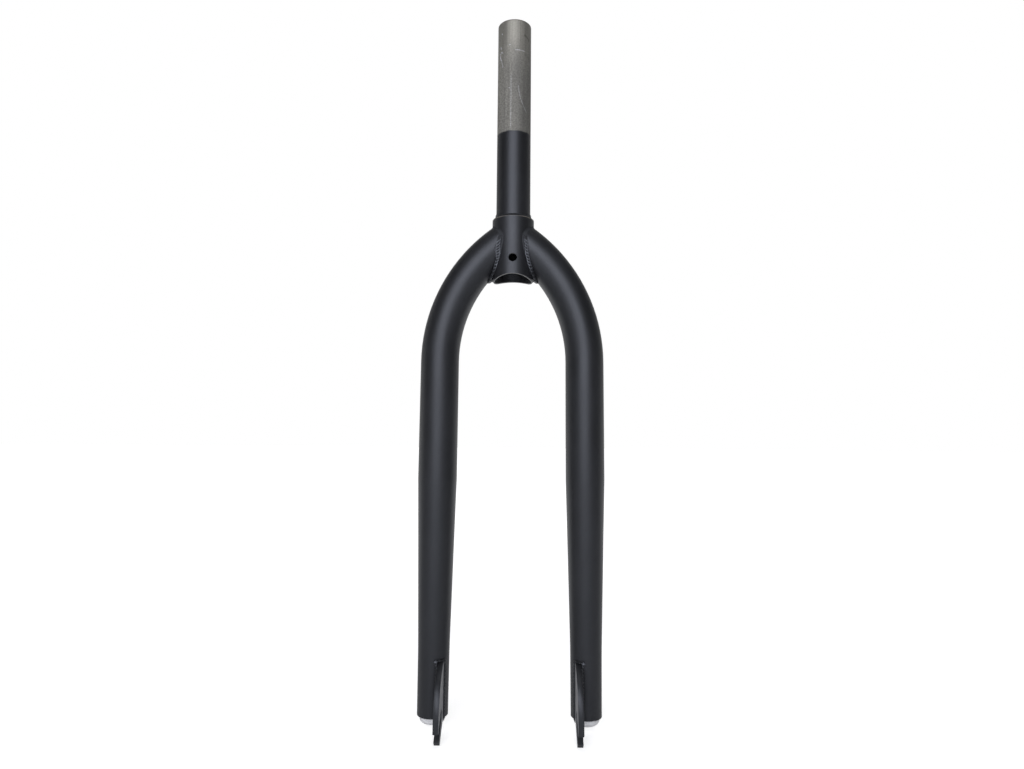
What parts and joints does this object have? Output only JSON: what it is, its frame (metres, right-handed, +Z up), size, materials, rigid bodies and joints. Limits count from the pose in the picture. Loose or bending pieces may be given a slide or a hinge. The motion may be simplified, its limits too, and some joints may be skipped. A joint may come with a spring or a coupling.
{
  "type": "bmx fork",
  "caption": "Rigid bicycle fork with a plain steerer, welded bent tapered legs, brake hole and slotted dropout plates.",
  "frame": {"origin": "on the steerer's axis at the step above the crown race seat", "axes": "+Z up the steerer, -Y towards the fork's front, +X across to the right of a viewer who faces its front"},
  "size_m": [0.1494, 0.0559, 0.578],
  "materials": {
    "painted_tube": "matte black paint, with bare drawn steel on the steerer's top 100 mm",
    "painted_weld": "matte black paint over a rippled bead",
    "painted_plate": "matte black paint, a little glossier",
    "plug": "pale grey, slightly streaked"
  },
  "bodies": {
    "root": {"steerer": "painted_tube", "left_leg": "painted_tube", "right_leg": "painted_tube", "left_crown_weld": "painted_weld", "right_crown_weld": "painted_weld", "left_dropout": "painted_plate", "right_dropout": "painted_plate", "left_dropout_weld": "painted_weld", "right_dropout_weld": "painted_weld", "left_end_plug": "plug", "right_end_plug": "plug"}
  },
  "joints": []
}
